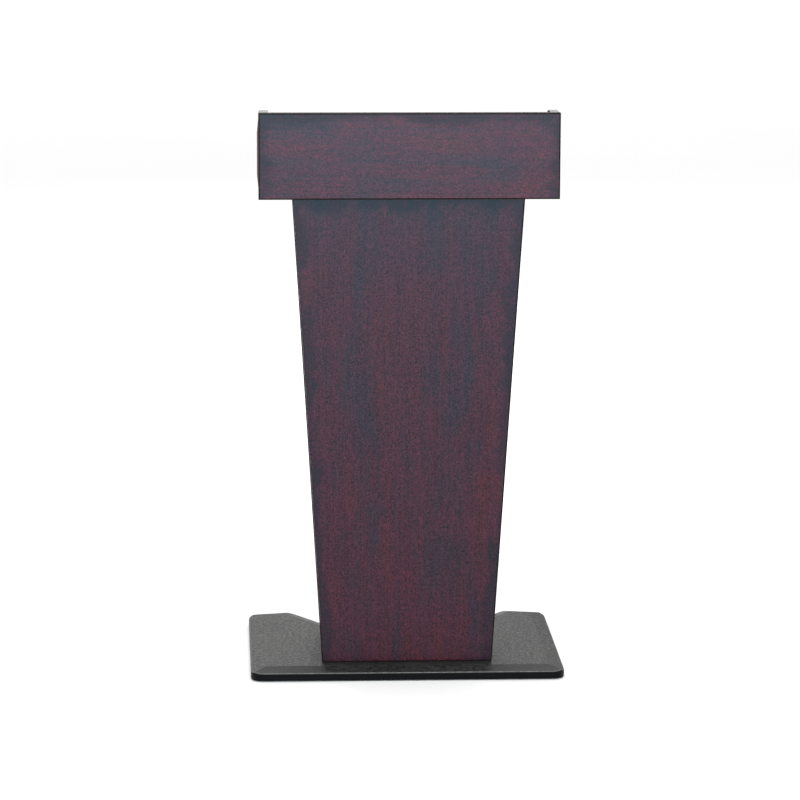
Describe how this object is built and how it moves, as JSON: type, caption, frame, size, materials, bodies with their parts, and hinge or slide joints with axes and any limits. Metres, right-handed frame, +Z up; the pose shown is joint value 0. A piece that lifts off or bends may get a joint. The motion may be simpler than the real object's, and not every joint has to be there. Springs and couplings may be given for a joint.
{
  "type": "wooden pulpit",
  "caption": "Floor-standing pulpit with a tapering laminated column, a sloped reading desk behind a deep fascia, and a black bevelled base notched at the rear.",
  "frame": {"origin": "on the floor, at the middle of the base's footprint", "axes": "+X to the right as the audience sees it, +Y from the audience towards the speaker, +Z up"},
  "size_m": [0.648, 0.524, 1.17],
  "materials": {
    "laminate": "semi-matte mahogany-look melamine on board",
    "banding": "dark brown edge banding",
    "base_paint": "fine-textured black paint on fibreboard",
    "rubber": "matte black rubber",
    "zinc": "bright zinc plate",
    "beech": "plain beech dowel"
  },
  "bodies": {
    "pulpit": {"back_rail": "laminate", "base_bolt_front_left": "zinc", "base_bolt_front_right": "zinc", "base_bolt_rear_left": "zinc", "base_bolt_rear_right": "zinc", "base_plate": "base_paint", "cam_bolt_column_lower_left": "zinc", "cam_bolt_column_lower_right": "zinc", "cam_bolt_column_upper_left": "zinc", "cam_bolt_column_upper_right": "zinc", "cam_bolt_fascia_left": "zinc", "cam_bolt_fascia_right": "zinc", "cam_column_lower_left": "zinc", "cam_column_lower_right": "zinc", "cam_column_upper_left": "zinc", "cam_column_upper_right": "zinc", "cam_fascia_left": "zinc", "cam_fascia_right": "zinc", "cheek_left": "laminate", "cheek_right": "laminate", "column_floor": "laminate", "column_front": "laminate", "column_front_band": "banding", "column_side_left": "laminate", "column_side_right": "laminate", "fascia": "laminate", "fascia_band": "banding", "foot_front_left": "rubber", "foot_front_right": "rubber", "foot_rear_left": "rubber", "foot_rear_right": "rubber", "head_floor": "laminate", "page_stop": "laminate", "pen_tray": "laminate", "reading_board": "laminate", "screw_cheek_front_left": "zinc", "screw_cheek_front_right": "zinc", "screw_cheek_rear_left": "zinc", "screw_cheek_rear_right": "zinc", "screw_floor_front_left": "zinc", "screw_floor_front_right": "zinc", "screw_floor_rear_left": "zinc", "screw_floor_rear_right": "zinc", "screw_head_front_left": "zinc", "screw_head_front_right": "zinc", "screw_head_rear_left": "zinc", "screw_head_rear_right": "zinc", "screw_rail_left": "zinc", "screw_rail_right": "zinc", "shelf_pin_front_left": "zinc", "shelf_pin_front_right": "zinc", "shelf_pin_rear_left": "zinc", "shelf_pin_rear_right": "zinc", "stop_dowel_left": "beech", "stop_dowel_right": "beech", "tee_nut_front_left": "zinc", "tee_nut_front_right": "zinc", "tee_nut_rear_left": "zinc", "tee_nut_rear_right": "zinc"},
    "shelf": {"adjustable_shelf": "laminate"}
  },
  "joints": [
    {"name": "shelf_slide", "type": "slide", "parent": "pulpit", "child": "shelf", "axis": [0, 1, 0], "range_m": [0, 0.27]}
  ]
}
